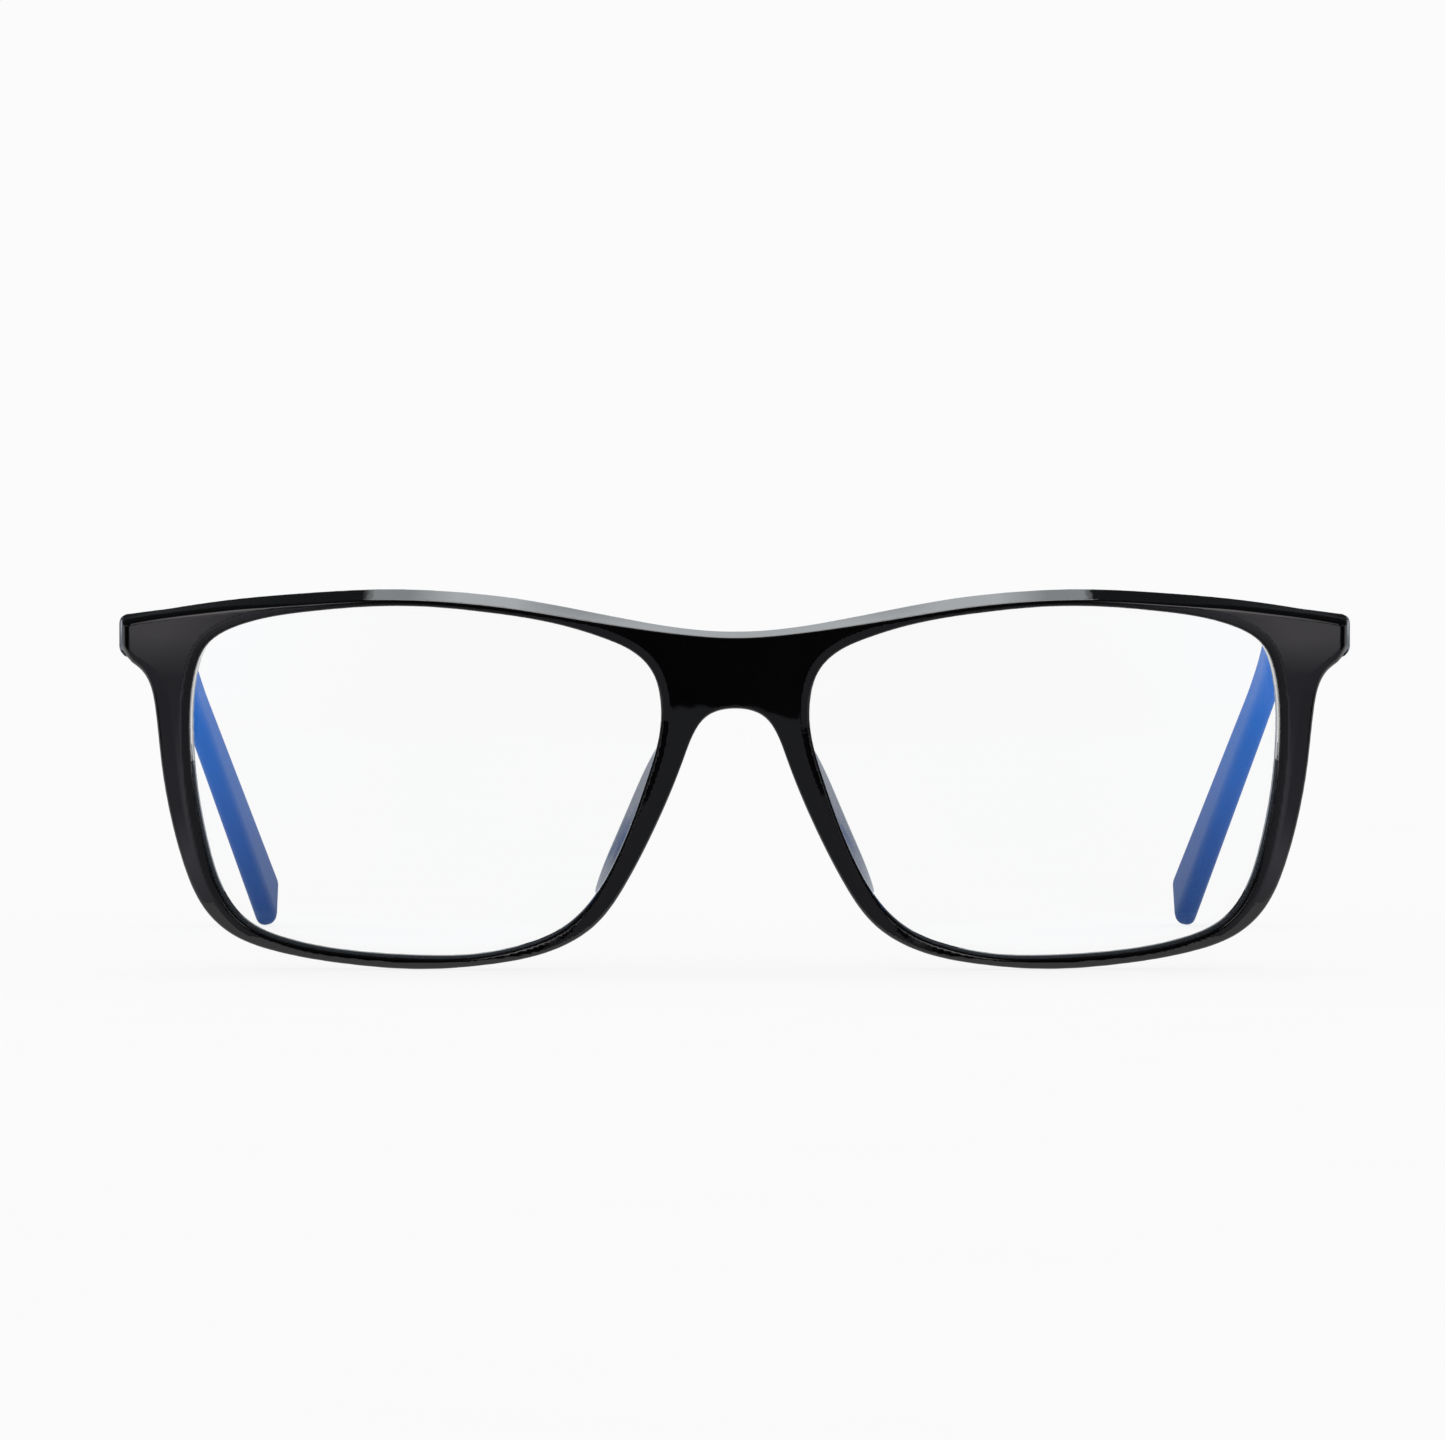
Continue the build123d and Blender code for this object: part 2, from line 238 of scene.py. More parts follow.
def distance_to_line(line):
    """Distance from every field point to an open chain of points."""
    gx, gz = np.meshgrid(FIELD_X, FIELD_Z, indexing="ij")
    start, step = line[:-1], np.diff(line, axis=0)
    square = np.maximum((step ** 2).sum(1), 1e-9)
    best = np.full(gx.shape, 1e9)
    for (sx, sz), (dx, dz), length in zip(start, step, square):
        along = np.clip(((gx - sx) * dx + (gz - sz) * dz) / length, 0, 1)
        best = np.minimum(best, (gx - sx - along * dx) ** 2 + (gz - sz - along * dz) ** 2)
    return np.sqrt(best)


def inside_loop(loop):
    gx, gz = np.meshgrid(FIELD_X, FIELD_Z, indexing="ij")
    inside = np.zeros(gx.shape, bool)
    after = np.roll(loop, -1, axis=0)
    for (ax, az), (bx, bz) in zip(loop, after):
        if az != bz:
            crosses = ((az > gz) != (bz > gz)) & (gx < (bx - ax) * (gz - az) / (bz - az) + ax)
            inside ^= crosses
    return inside


def outline_fields():
    """Signed distances to the outside and to the lens opening, and the distance to the lower edge."""
    end = np.array([(HALF_WIDTH, LUG_TOP), (HALF_WIDTH, LUG_BOTTOM)])
    lower_distance = distance_to_line(LOWER[::2])
    rest = np.minimum(distance_to_line(BROW[::2]), distance_to_line(end))
    outside = np.minimum(lower_distance, rest)
    loop = np.vstack([line[line[:, 0] > MIDDLE_MARGIN] for line in (BROW, LOWER)])
    outside = np.where(inside_loop(loop), -outside, outside)
    opening = distance_to_line(np.vstack([APERTURE[::2], APERTURE[:1]]))
    opening = np.where(inside_loop(APERTURE), -opening, opening)
    return outside, opening, lower_distance


OUTSIDE, OPENING, LOWER_DISTANCE = outline_fields()


def look_up(field, x, z):
    """Value of a field between its points."""
    u = np.clip(x / FIELD_PITCH, 0, len(FIELD_X) - 1.001)
    w = np.clip((z - FIELD_Z[0]) / FIELD_PITCH, 0, len(FIELD_Z) - 1.001)
    i, k = u.astype(int), w.astype(int)
    u, w = u - i, w - k
    low = field[i, k] * (1 - u) + field[i + 1, k] * u
    high = field[i, k + 1] * (1 - u) + field[i + 1, k + 1] * u
    return low * (1 - w) + high * w


def round_max(a, b, radius):
    """Intersection of two distances with a round edge."""
    away = np.hypot(np.maximum(a + radius, 0), np.maximum(b + radius, 0))
    return np.minimum(np.maximum(a, b), -radius) + away


def soft_min(a, b, width):
    share = np.clip(0.5 + 0.5 * (b - a) / width, 0, 1)
    return b + (a - b) * share - width * share * (1 - share)


def to_front_plane(points):
    """Distance out from the middle, depth and height in the front's own upright plane."""
    x = np.abs(points[:, 0])
    y = points[:, 1] * math.cos(FRONT_TILT) + points[:, 2] * math.sin(FRONT_TILT)
    z = points[:, 2] * math.cos(FRONT_TILT) - points[:, 1] * math.sin(FRONT_TILT)
    return x, y, z


def from_front_plane(points):
    """Tilts points from the front's own upright plane to their place."""
    y = points[:, 1] * math.cos(FRONT_TILT) - points[:, 2] * math.sin(FRONT_TILT)
    z = points[:, 1] * math.sin(FRONT_TILT) + points[:, 2] * math.cos(FRONT_TILT)
    return np.stack([points[:, 0], y, z], 1)


def soft_ramp(share):
    """Zero below zero and nearly straight above it, with a soft start."""
    share = np.maximum(share, 0)
    return np.where(share < CREASE_SOFTNESS, share ** 2 / (2 * CREASE_SOFTNESS),
                    share - CREASE_SOFTNESS / 2)


def brow_drop(x):
    """How far the brow's front edge lies below its back edge, beyond the tilt's own share."""
    drop = BROW_DROP_MIDDLE + BROW_DROP_MORE * smoothstep(*BROW_DROP_SPAN, x)
    drop = drop * (1 - BROW_SIDE_LOSS * smoothstep(*BROW_SIDE_SPAN, x))
    return drop - BROW_END_LOSS * smoothstep(*BROW_END_SPAN, x)


def front_field(points):
    """Distance to the front's surface, negative inside, for points in design millimetres."""
    x, level, height = to_front_plane(points)
    from_axis = np.hypot(x, WRAP_RADIUS - level)
    depth = WRAP_RADIUS - from_axis
    square = x * WRAP_RADIUS / from_axis
    edge_x = square + (x - square) * smoothstep(*LUG_SPAN, x)
    forward = np.clip(1 - depth / FRONT_THICKNESS, 0, 1)
    upper = smoothstep(*BROW_HEIGHTS, height)
    outside = look_up(OUTSIDE, edge_x, height + brow_drop(x) * forward * upper)
    opening = look_up(OPENING, square, height)
    lower = look_up(LOWER_DISTANCE, edge_x, height)
    side = smoothstep(*SIDE_SPAN, x)
    width = NOSE_BEVEL_WIDTH + (OUTER_BEVEL_WIDTH - NOSE_BEVEL_WIDTH) * side
    width = width + LOWER_BEVEL_EXTRA * smoothstep(*LOWER_SPAN, x) * (1 - side)
    width = width * (1 - BEVEL_FADE * smoothstep(*BEVEL_FADE_HEIGHTS, height))
    width = np.maximum(width, LEAST_BEVEL_WIDTH)
    bevel = OUTER_BEVEL_DEPTH * (width / OUTER_BEVEL_WIDTH) * soft_ramp(1 - lower / width)
    step = INNER_BEVEL_DEPTH * soft_ramp(1 - np.maximum(opening, 0) / INNER_BEVEL_WIDTH)
    front_side = bevel + step - depth
    plate = round_max(front_side, x - HALF_WIDTH, LUG_END_ROUND)
    edge_round = EDGE_ROUND + (LUG_EDGE_ROUND - EDGE_ROUND) * smoothstep(*BROW_SIDE_SPAN, x) * upper
    plate = round_max(plate, outside, edge_round)
    plate = round_max(plate, depth - FRONT_THICKNESS, BACK_ROUND)
    plate = round_max(plate, -opening, OPENING_ROUND)
    middle = (LUG_BOX_LOW + LUG_BOX_HIGH) / 2
    half = (LUG_BOX_HIGH - LUG_BOX_LOW) / 2 - LUG_BOX_ROUND
    reach = np.abs(np.stack([x, points[:, 1], points[:, 2]], 1) - middle) - half
    block = np.linalg.norm(np.maximum(reach, 0), axis=1) + np.minimum(reach.max(1), 0)
    return soft_min(plate, block - LUG_BOX_ROUND, LUG_BLEND)


# ---- surface of a field ----
def surface_net(field, low, high, pitch):
    """Vertices, quads and normals of the surface where a distance field is zero."""
    coarse = pitch * NET_BLOCK
    counts = np.ceil((np.array(high) - low) / coarse).astype(int)
    cells = np.stack(np.meshgrid(*[np.arange(n) for n in counts], indexing="ij"), -1).reshape(-1, 3)
    near = np.abs(field(low + (cells + 0.5) * coarse)) < coarse * NET_MARGIN
    cells = cells[near]
    side = np.arange(NET_BLOCK + 1)
    corner = np.stack(np.meshgrid(side, side, side, indexing="ij"), -1)
    index = cells[:, None, None, None, :] * NET_BLOCK + corner
    value = field(low + index.reshape(-1, 3) * pitch).reshape(index.shape[:-1])
    inside = value < 0
    size = NET_BLOCK

    def part(array, i, j, k):
        return array[:, i:i + size, j:j + size, k:k + size]

    total = sum(part(inside, i, j, k).astype(np.int8) for i in (0, 1) for j in (0, 1) for k in (0, 1))
    active = (total > 0) & (total < 8)
    place = index[:, :size, :size, :size][active]
    steps = [np.array(step) for step in ((1, 0, 0), (0, 1, 0), (0, 0, 1))]
    crossing = np.zeros((len(place), 3))
    hits = np.zeros(len(place))
    changes = []
    for axis, step in enumerate(steps):
        first, second = steps[axis - 2], steps[axis - 1]
        for a in (0, 1):
            for b in (0, 1):
                start = a * first + b * second
                end = start + step
                from_value = part(value, *start)[active]
                to_value = part(value, *end)[active]
                change = (from_value < 0) != (to_value < 0)
                gap = np.where(change, from_value - to_value, 1.0)
                share = np.clip(from_value / gap, 0, 1)
                crossing += change[:, None] * (start + share[:, None] * step)
                hits += change
                if a == 0 and b == 0:
                    changes.append((change, from_value < 0))
    vertices = low + (place + crossing / hits[:, None]) * pitch
    span = counts * NET_BLOCK + 2
    keys = ((place[:, 0] + 1) * span[1] + place[:, 1] + 1) * span[2] + place[:, 2] + 1
    order = np.argsort(keys)
    sorted_keys = keys[order]
    stride = np.array([span[1] * span[2], span[2], 1])
    quads = []
    for axis, (change, starts_inside) in enumerate(changes):
        first, second = stride[axis - 2], stride[axis - 1]
        base = keys[change]
        around = np.stack([base, base - first, base - first - second, base - second], 1)
        found = order[np.clip(np.searchsorted(sorted_keys, around), 0, len(keys) - 1)]
        whole = (keys[found] == around).all(1)
        flip = ~starts_inside[change]
        found[flip] = found[flip][:, ::-1]
        quads.append(found[whole])
    quads = np.vstack(quads)
    for _ in range(SETTLE_ROUNDS):
        slope = field_slope(field, vertices)
        size_squared = (slope ** 2).sum(1)
        move = slope * (field(vertices) / np.maximum(size_squared, LEAST_SLOPE_SQUARED))[:, None]
        vertices -= np.clip(move, -pitch / 2, pitch / 2)
    normals = field_slope(field, vertices)
    normals /= np.linalg.norm(normals, axis=1)[:, None]
    return vertices, quads, normals


def field_slope(field, points, reach=0.02):
    slope = np.empty_like(points)
    for axis in range(3):
        shift = np.zeros(3)
        shift[axis] = reach
        slope[:, axis] = (field(points + shift) - field(points - shift)) / (2 * reach)
    return slope


# ---- meshes ----
def add_mesh(name, vertices, faces, material, loop_normals=None, vertex_normals=None):
    """Smooth object from design millimetres, moved to the frame of the record."""
    mesh = bpy.data.meshes.new(name)
    mesh.from_pydata(((np.asarray(vertices) + ORIGIN) * MM).tolist(), [], faces)
    mesh.polygons.foreach_set("use_smooth", [True] * len(mesh.polygons))
    if vertex_normals is not None:
        mesh.normals_split_custom_set_from_vertices(vertex_normals.tolist())
    if loop_normals is not None:
        mesh.normals_split_custom_set(loop_normals)
    mesh.materials.append(material)
    made = bpy.data.objects.new(name, mesh)
    bpy.context.scene.collection.objects.link(made)
    return made


def mirrored(vertices, faces, loop_normals):
    """The same mesh on the other side of the middle plane."""
    flip = np.array([-1.0, 1.0, 1.0])
    turned = [face[::-1] for face in faces]
    normals = []
    start = 0
    for face in faces:
        corners = loop_normals[start:start + len(face)]
        normals += [(-x, y, z) for x, y, z in reversed(corners)]
        start += len(face)
    return vertices * flip, turned, normals


def ring_mesh(rings, ring_normals, caps):
    """Faces and corner normals between rings of points; ring_normals holds, for each stretch between
    two rings, the normals at its first and its second ring. caps are the normals at the two ends."""
    count = len(rings[0])
    faces = []
    normals = []
    for level, (first, second) in enumerate(ring_normals):
        for i in range(count):
            j = (i + 1) % count
            low, high = level * count, (level + 1) * count
            faces.append((low + i, low + j, high + j, high + i))
            normals += [tuple(first[i]), tuple(first[j]), tuple(second[j]), tuple(second[i])]
    last = (len(rings) - 1) * count
    faces.append(tuple(reversed(range(count))))
    normals += [caps[0]] * count
    faces.append(tuple(range(last, last + count)))
    normals += [caps[1]] * count
    return np.vstack(rings), faces, normals


# ---- lens ----
def lens_mesh():
    """Left lens: two concentric spherical surfaces and a rim with a bevel on both its edges."""
    step = np.roll(APERTURE, -1, axis=0) - np.roll(APERTURE, 1, axis=0)
    length = np.linalg.norm(step, axis=1)[:, None]
    outwards = np.stack([-step[:, 1], step[:, 0]], 1) / length
    if (outwards * (APERTURE - LENS_CENTRE)).sum() < 0:
        outwards = -outwards
    rim = APERTURE + outwards * LENS_GROW
    crown = APERTURE + outwards * (LENS_GROW - LENS_BEVEL)

    def on_surface(outline, depth):
        radius = LENS_RADIUS - depth
        outline = outline * (1 - LENS_RIM_DEPTH / WRAP_RADIUS, 1)
        across = outline - LENS_MIDDLE[[0, 2]]
        away = np.sqrt(radius ** 2 - (across ** 2).sum(1))
        return np.stack([outline[:, 0], LENS_MIDDLE[1] - away, outline[:, 1]], 1)

    shares = np.linspace(LENS_INNER_SHARE, 1, LENS_RINGS) ** LENS_RING_POWER
    rings = [on_surface(LENS_CENTRE + (crown - LENS_CENTRE) * share, 0) for share in shares]
    rings += [on_surface(rim, LENS_BEVEL), on_surface(rim, LENS_THICKNESS - LENS_BEVEL)]
    rings += [on_surface(LENS_CENTRE + (crown - LENS_CENTRE) * share, LENS_THICKNESS)
              for share in reversed(shares)]

    def surface_normals(ring, sign):
        normal = ring - LENS_MIDDLE
        return from_front_plane(sign * normal / np.linalg.norm(normal, axis=1)[:, None])

    def slope_normals(ring, back):
        side = np.stack([outwards[:, 0], 0 * outwards[:, 0], outwards[:, 1]], 1)
        normal = side + np.array([0, back, 0])
        return from_front_plane(normal / np.linalg.norm(normal, axis=1)[:, None])

    ring_normals = []
    for level in range(len(rings) - 1):
        pair = (rings[level], rings[level + 1])
        if level < LENS_RINGS - 1:
            ring_normals.append([surface_normals(ring, 1) for ring in pair])
        elif level < LENS_RINGS + 2:
            ring_normals.append([slope_normals(ring, level - LENS_RINGS) for ring in pair])
        else:
            ring_normals.append([surface_normals(ring, -1) for ring in pair])
    front_way = surface_normals(rings[0][:1], 1)[0]
    back_way = surface_normals(rings[-1][:1], -1)[0]
    vertices, faces, normals = ring_mesh(
        [from_front_plane(ring) for ring in rings], ring_normals, (tuple(front_way), tuple(back_way)))
    return vertices, faces, normals


# ---- nose pad ----
def pad_mesh():
    """Left nose pad: outlines one behind another, the last ones drawn in to round its back."""
    line = cubic_through(PAD_LINE, False, PAD_LINE_STEPS)
    step = np.gradient(line, axis=0)
    step /= np.linalg.norm(step, axis=1)[:, None]
    run = np.concatenate([[0], np.cumsum(np.linalg.norm(np.diff(line, axis=0), axis=1))])
    turn = 2 * math.pi * np.arange(PAD_POINTS) / PAD_POINTS
    along, across = (np.sign(way) * np.abs(way) ** (2 / PAD_SQUARENESS)
                     for way in (np.cos(turn), np.sin(turn)))
    drop = 1 - PAD_END_DROP * np.abs(along) ** PAD_END_DROP_POWER
    back = PAD_ROOT + PAD_RUN
    levels = [(depth, 0) for depth in np.linspace(PAD_START, back - PAD_BACK_ROUND, PAD_RINGS)]
    for ring in range(1, PAD_ROUND_RINGS + 1):
        angle = math.pi / 2 * ring / PAD_ROUND_RINGS
        levels.append((back - PAD_BACK_ROUND * (1 - math.sin(angle)),
                       PAD_BACK_ROUND * (1 - math.cos(angle))))
    rings = []
    for depth, inset in levels:
        share = max((depth - PAD_ROOT) / PAD_RUN, 0)
        half_width = (PAD_ROOT_WIDTH + (PAD_BACK_WIDTH - PAD_ROOT_WIDTH) * share) / 2 - inset
        place = run[-1] / 2 + along * (PAD_LENGTH / 2 - inset)
        centre = np.stack([np.interp(place, run, line[:, axis]) for axis in (0, 1)], 1)
        way = np.stack([np.interp(place, run, step[:, axis]) for axis in (0, 1)], 1)
        outwards = np.stack([-way[:, 1], way[:, 0]], 1)
        shift = PAD_FLARE * share * (1 - along ** 2)
        outline = centre + outwards * (shift + across * half_width)[:, None]
        depths = PAD_START + (depth - PAD_START) * drop
        rings.append(np.stack([outline[:, 0], depths, outline[:, 1]], 1))
    faces = []
    for level in range(len(rings) - 1):
        for i in range(PAD_POINTS):
            j = (i + 1) % PAD_POINTS
            low, high = level * PAD_POINTS, (level + 1) * PAD_POINTS
            faces.append((low + i, low + j, high + j, high + i))
    for first, forward in ((0, False), ((len(rings) - 1) * PAD_POINTS, True)):
        for i in range(PAD_POINTS // 2):
            corners = [i, i + 1, PAD_POINTS - i - 1, (PAD_POINTS - i) % PAD_POINTS]
            corners = [first + corner for corner in dict.fromkeys(corners)]
            faces.append(tuple(corners if forward else reversed(corners)))
    return from_front_plane(np.vstack(rings)), faces


# ---- temple ----
def bend_turn(distance):
    return min(max(distance - SHAFT_LENGTH, 0) / BEND_RADIUS, BEND_ANGLE)


def lean_turn(distance):
    return LEAN_ANGLE * float(smoothstep(0, LEAN_RUN, distance - SHAFT_LENGTH - LEAN_START))


def along_temple(distance, values):
    front, bend, end = values
    if distance < SHAFT_LENGTH:
        return front + (bend - front) * distance / SHAFT_LENGTH
    share = (distance - SHAFT_LENGTH) / (TEMPLE_LENGTH - SHAFT_LENGTH)
    return bend + (end - bend) * share


def soft_section(width, height):
    """Points and outward directions round a flat-sided section with full, soft ends."""
    turn = 2 * math.pi * (np.arange(SECTION_POINTS) + 0.5) / SECTION_POINTS
    reach = np.array([width / 2, min(TEMPLE_END_REACH * width, height / 2)])
    way = np.stack([np.cos(turn), np.sin(turn)], 1)
    cap = np.abs(way) ** (2 / TEMPLE_SQUARENESS)
    points = np.sign(way) * (cap * reach + (0, height / 2 - reach[1]))
    ways = np.sign(way) * cap ** (TEMPLE_SQUARENESS - 1) / reach
    return points, ways / np.linalg.norm(ways, axis=1)[:, None]


def temple_mesh():
    """Left temple as a soft section along its path, with rounded edges at both ends."""
    marks = []
    for step in range(END_STEPS + 1):
        angle = math.pi / 2 * (1 - step / END_STEPS)
        marks.append((BUTT_ROUND * (1 - math.sin(angle)), BUTT_ROUND * (1 - math.cos(angle)), -angle))
    count = round(TEMPLE_LENGTH / TEMPLE_PITCH)
    low, high = BUTT_ROUND, TEMPLE_LENGTH - TIP_ROUND
    marks += [(low + (high - low) * i / count, 0, 0) for i in range(1, count)]
    for step in range(END_STEPS + 1):
        angle = math.pi / 2 * step / END_STEPS
        marks.append((high + TIP_ROUND * math.sin(angle), TIP_ROUND * (1 - math.cos(angle)), angle))
    centre = np.array([0.0, DESIGN_HINGE[1] + BUTT_GAP, TEMPLE_MIDDLE_Z])
    leant = 0.0
    distance = 0.0
    rings = []
    ring_ways = []
    for mark, inset, angle in marks:
        pieces = max(1, math.ceil((mark - distance) / PATH_STEP))
        stride = (mark - distance) / pieces
        for piece in range(pieces):
            middle = distance + (piece + 0.5) * stride
            down, lean = bend_turn(middle), lean_turn(middle)
            centre[1] += stride * math.cos(down) * math.cos(lean)
            centre[2] -= stride * math.sin(down) * math.cos(lean)
            leant += stride * math.sin(lean)
        distance = mark
        down, lean = bend_turn(mark), lean_turn(mark)
        along = np.array([-math.sin(lean), math.cos(down) * math.cos(lean),
                          -math.sin(down) * math.cos(lean)])
        up = np.array([0, math.sin(down), math.cos(down)])
        across = np.cross(up, along)
        thickness = along_temple(mark, TEMPLE_THICKNESS)
        height = along_temple(mark, TEMPLE_HEIGHT)
        centre[0] = along_temple(mark, TEMPLE_OUTER_X) - thickness / 2 - leant
        flat, ways = soft_section(thickness - 2 * inset, height - 2 * inset)
        rings.append(centre + flat[:, :1] * across + flat[:, 1:] * up)
        side = ways[:, :1] * across + ways[:, 1:] * up
        ring_ways.append(math.cos(angle) * side + math.sin(angle) * along)
    pairs = list(zip(ring_ways[:-1], ring_ways[1:]))
    return ring_mesh(rings, pairs, ((0, -1, 0), tuple(along)))


# ---- materials ----
def new_material(name, **values):
    """Material with its constants set on the shader's own sockets."""
    material = bpy.data.materials.new(name)
    material.use_nodes = True
    shader = material.node_tree.nodes["Principled BSDF"]
    for socket, value in values.items():
        shader.inputs[socket.replace("_", " ")].default_value = value
    return material, material.node_tree, shader


def object_place(tree):
    """The three coordinates of a point on the object, in metres."""
    place = tree.nodes.new("ShaderNodeTexCoord")
    split = tree.nodes.new("ShaderNodeSeparateXYZ")
    tree.links.new(place.outputs["Object"], split.inputs[0])
    return split.outputs["X"], split.outputs["Y"], split.outputs["Z"]


def noise(tree, scale, detail=2.0, stretch=(1, 1, 1)):
    """Noise fixed to the object, with its scale in features per metre."""
    place = tree.nodes.new("ShaderNodeTexCoord")
    mapping = tree.nodes.new("ShaderNodeMapping")
    mapping.inputs["Scale"].default_value = stretch
    texture = tree.nodes.new("ShaderNodeTexNoise")
    texture.inputs["Scale"].default_value = scale
    texture.inputs["Detail"].default_value = detail
    tree.links.new(place.outputs["Object"], mapping.inputs["Vector"])
    tree.links.new(mapping.outputs["Vector"], texture.inputs["Vector"])
    return texture.outputs["Fac"]


def between(tree, factor, low, high, from_low=0.3, from_high=0.7):
    """Runs from low to high while the factor runs from from_low to from_high, and stops there."""
    spread = tree.nodes.new("ShaderNodeMapRange")
    spread.inputs["From Min"].default_value = from_low
    spread.inputs["From Max"].default_value = from_high
    spread.inputs["To Min"].default_value = low
    spread.inputs["To Max"].default_value = high
    tree.links.new(factor, spread.inputs["Value"])
    return spread.outputs["Result"]


def ramp(tree, factor, *stops):
    """Colours at positions along a factor."""
    node = tree.nodes.new("ShaderNodeValToRGB")
    elements = node.color_ramp.elements
    while len(elements) < len(stops):
        elements.new(0.5)
    for element, (position, colour) in zip(elements, stops):
        element.position = position
        element.color = (*colour, 1)
    tree.links.new(factor, node.inputs["Fac"])
    return node.outputs["Color"]


def blend_colours(tree, first, second, factor=None, kind="MIX"):
    """Mixes two colours by a factor, or wholly where no factor is given."""
    node = tree.nodes.new("ShaderNodeMix")
    node.data_type = "RGBA"
    node.blend_type = kind
    node.inputs["Factor"].default_value = 1.0
    if factor is not None:
        tree.links.new(factor, node.inputs["Factor"])
    tree.links.new(first, node.inputs["A"])
    tree.links.new(second, node.inputs["B"])
    return node.outputs["Result"]


def arithmetic(tree, operation, first, second=None):
    node = tree.nodes.new("ShaderNodeMath")
    node.operation = operation
    for socket, value in zip(node.inputs, (first, second)):
        if isinstance(value, (int, float)):
            socket.default_value = value
        elif value is not None:
            tree.links.new(value, socket)
    return node.outputs[0]


def product(tree, first, *others):
    for other in others:
        first = arithmetic(tree, "MULTIPLY", first, other)
    return first


def bumps(tree, shader, *layers):
    """Height layers of (factor, depth in metres), one upon another."""
    last = None
    for height, depth in layers:
        node = tree.nodes.new("ShaderNodeBump")
        node.inputs["Strength"].default_value = 1.0
        node.inputs["Distance"].default_value = depth
        tree.links.new(height, node.inputs["Height"])
        if last is not None:
            tree.links.new(last, node.inputs["Normal"])
        last = node.outputs["Normal"]
    tree.links.new(last, shader.inputs["Normal"])


def black_gloss():
    """Polished black plastic: hand-buffed, so its reflections waver slightly."""
    material, tree, shader = new_material("black_gloss", IOR=1.5)
    cloud = noise(tree, 70, 3)
    colour = ramp(tree, cloud, (0.3, (0.0010, 0.0010, 0.0012)), (0.7, (0.0022, 0.0022, 0.0026)))
    tree.links.new(colour, shader.inputs["Base Color"])
    rough = between(tree, noise(tree, 2600, 4), 0.012, 0.035)
    tree.links.new(rough, shader.inputs["Roughness"])
    bumps(tree, shader, (noise(tree, 60, 1), 0.00003), (noise(tree, 5200, 2), 0.0000003))
    return material


def pad_gloss():
    """Black plastic of the nose pads, a little softer in its polish than the front."""
    material, tree, shader = new_material("pad_gloss", IOR=1.5)
    cloud = noise(tree, 180, 3)
    colour = ramp(tree, cloud, (0.3, (0.004, 0.004, 0.006)), (0.7, (0.007, 0.007, 0.011)))
    tree.links.new(colour, shader.inputs["Base Color"])
    rough = between(tree, noise(tree, 2400, 4), 0.06, 0.13)
    tree.links.new(rough, shader.inputs["Roughness"])
    bumps(tree, shader, (noise(tree, 240, 1), 0.00002), (noise(tree, 6000, 2), 0.0000006))
    return material


def blue_matte():
    """Moulded blue rubber-touch plastic with a fine even grain; its colour is painted darker towards the
    bottom and lighter towards the top, as painted shade by the floor at the tips and painted light from
    above.
    """
    material, tree, shader = new_material(
        "blue_matte", IOR=1.45, Specular_IOR_Level=0.3, Specular_Tint=(0.45, 0.72, 1.0, 1),
        Sheen_Weight=0.06, Sheen_Roughness=0.45, Sheen_Tint=(0.5, 0.72, 1.0, 1))
    # Painted shade and light: the blue darkens low down, towards the tips by the floor, and lightens high up.
    height = between(tree, object_place(tree)[2], 0, 1, 0.0, 0.04)
    painted_shade_blue = ramp(tree, height, (0.0, (0.003, 0.032, 0.15)), (0.3, (0.006, 0.065, 0.30)),
                (0.65, (0.010, 0.125, 0.52)), (1.0, (0.016, 0.170, 0.70)))
    cloud = ramp(tree, noise(tree, 60, 4), (0.3, (0.90, 0.92, 0.94)), (0.7, (1.0, 1.0, 1.0)))
    colour = blend_colours(tree, painted_shade_blue, cloud, kind="MULTIPLY")
    tree.links.new(colour, shader.inputs["Base Color"])
    rough = between(tree, noise(tree, 3000, 4), 0.42, 0.52)
    tree.links.new(rough, shader.inputs["Roughness"])
    bumps(tree, shader, (noise(tree, 140, 1), 0.00003), (noise(tree, 7000, 3), 0.000003))
    return material


def brushed_metal(name, colour_low, colour_high, rough_low, rough_high, stretch, scale):
    """Metal with a fine grain drawn out along one way."""
    material, tree, shader = new_material(name, Metallic=1.0)
    grain = noise(tree, scale, 4, stretch)
    tree.links.new(ramp(tree, grain, (0.3, colour_low), (0.7, colour_high)), shader.inputs["Base Color"])
    tree.links.new(between(tree, grain, rough_low, rough_high), shader.inputs["Roughness"])
    bumps(tree, shader, (grain, 0.000004))
    return material


def clear_lens():
    """Clear lens with a faint blue reflex; light passes it without a dark shadow."""
    material, tree, shader = new_material(
        "clear_lens", IOR=1.5, Transmission_Weight=1.0, Specular_Tint=(0.22, 0.30, 0.52, 1))
    cloud = noise(tree, 45, 3)
    colour = ramp(tree, cloud, (0.3, (0.985, 0.992, 1.0)), (0.7, (0.992, 0.996, 1.0)))
    tree.links.new(colour, shader.inputs["Base Color"])
    rough = between(tree, noise(tree, 130, 5), 0.0, 0.012, 0.45, 0.8)
    tree.links.new(rough, shader.inputs["Roughness"])
    path = tree.nodes.new("ShaderNodeLightPath")
    passing = tree.nodes.new("ShaderNodeBsdfTransparent")
    passing.inputs["Color"].default_value = (0.95, 0.965, 0.985, 1)
    mix = tree.nodes.new("ShaderNodeMixShader")
    tree.links.new(path.outputs["Is Shadow Ray"], mix.inputs[0])
    tree.links.new(shader.outputs[0], mix.inputs[1])
    tree.links.new(passing.outputs[0], mix.inputs[2])
    tree.links.new(mix.outputs[0], tree.nodes["Material Output"].inputs["Surface"])
    return material


